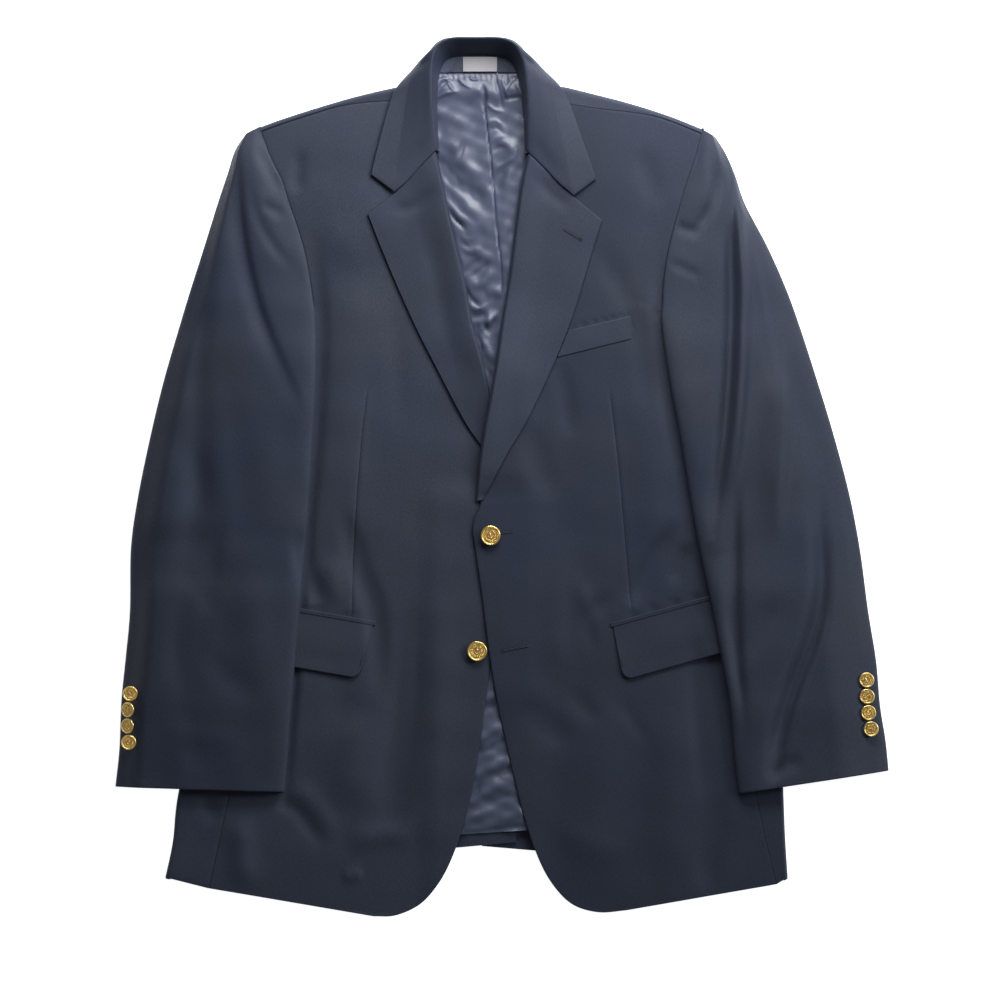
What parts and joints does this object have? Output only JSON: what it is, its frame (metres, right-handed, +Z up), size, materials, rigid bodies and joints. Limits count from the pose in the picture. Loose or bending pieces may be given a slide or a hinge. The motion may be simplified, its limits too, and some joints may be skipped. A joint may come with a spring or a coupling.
{
  "type": "blazer",
  "caption": "Single-breasted notch-lapel blazer laid flat on its back, sleeves at its sides, with flap pockets, a breast welt, metal buttons and a satin lining.",
  "frame": {"origin": "middle of the laid garment's width and length, on the surface it lies on", "axes": "+X to the wearer's left (the right of the picture), +Y to the collar, +Z up from the surface; the garment lies on its back"},
  "size_m": [0.7732, 0.8782, 0.029],
  "materials": {
    "worsted": "matt navy worsted wool with a fine weave and a soft sheen",
    "satin": "smooth grey-blue lining satin",
    "label": "pale grey woven label, blank",
    "brass": "polished gold-coloured metal with a raised rim"
  },
  "bodies": {
    "root": {"back_right": "worsted", "side_right": "worsted", "front_right": "worsted", "lapel_right": "worsted", "sleeve_top_right": "worsted", "sleeve_under_right": "worsted", "flap_right": "worsted", "back_left": "worsted", "side_left": "worsted", "front_left": "worsted", "lapel_left": "worsted", "sleeve_top_left": "worsted", "sleeve_under_left": "worsted", "flap_left": "worsted", "collar": "worsted", "breast_welt": "worsted", "neck_facing": "worsted", "lining": "satin", "neck_label": "label", "button_front_upper": "brass", "button_front_lower": "brass", "button_cuff_right_1": "brass", "button_cuff_right_2": "brass", "button_cuff_right_3": "brass", "button_cuff_right_4": "brass", "button_cuff_left_1": "brass", "button_cuff_left_2": "brass", "button_cuff_left_3": "brass", "button_cuff_left_4": "brass"}
  },
  "joints": []
}
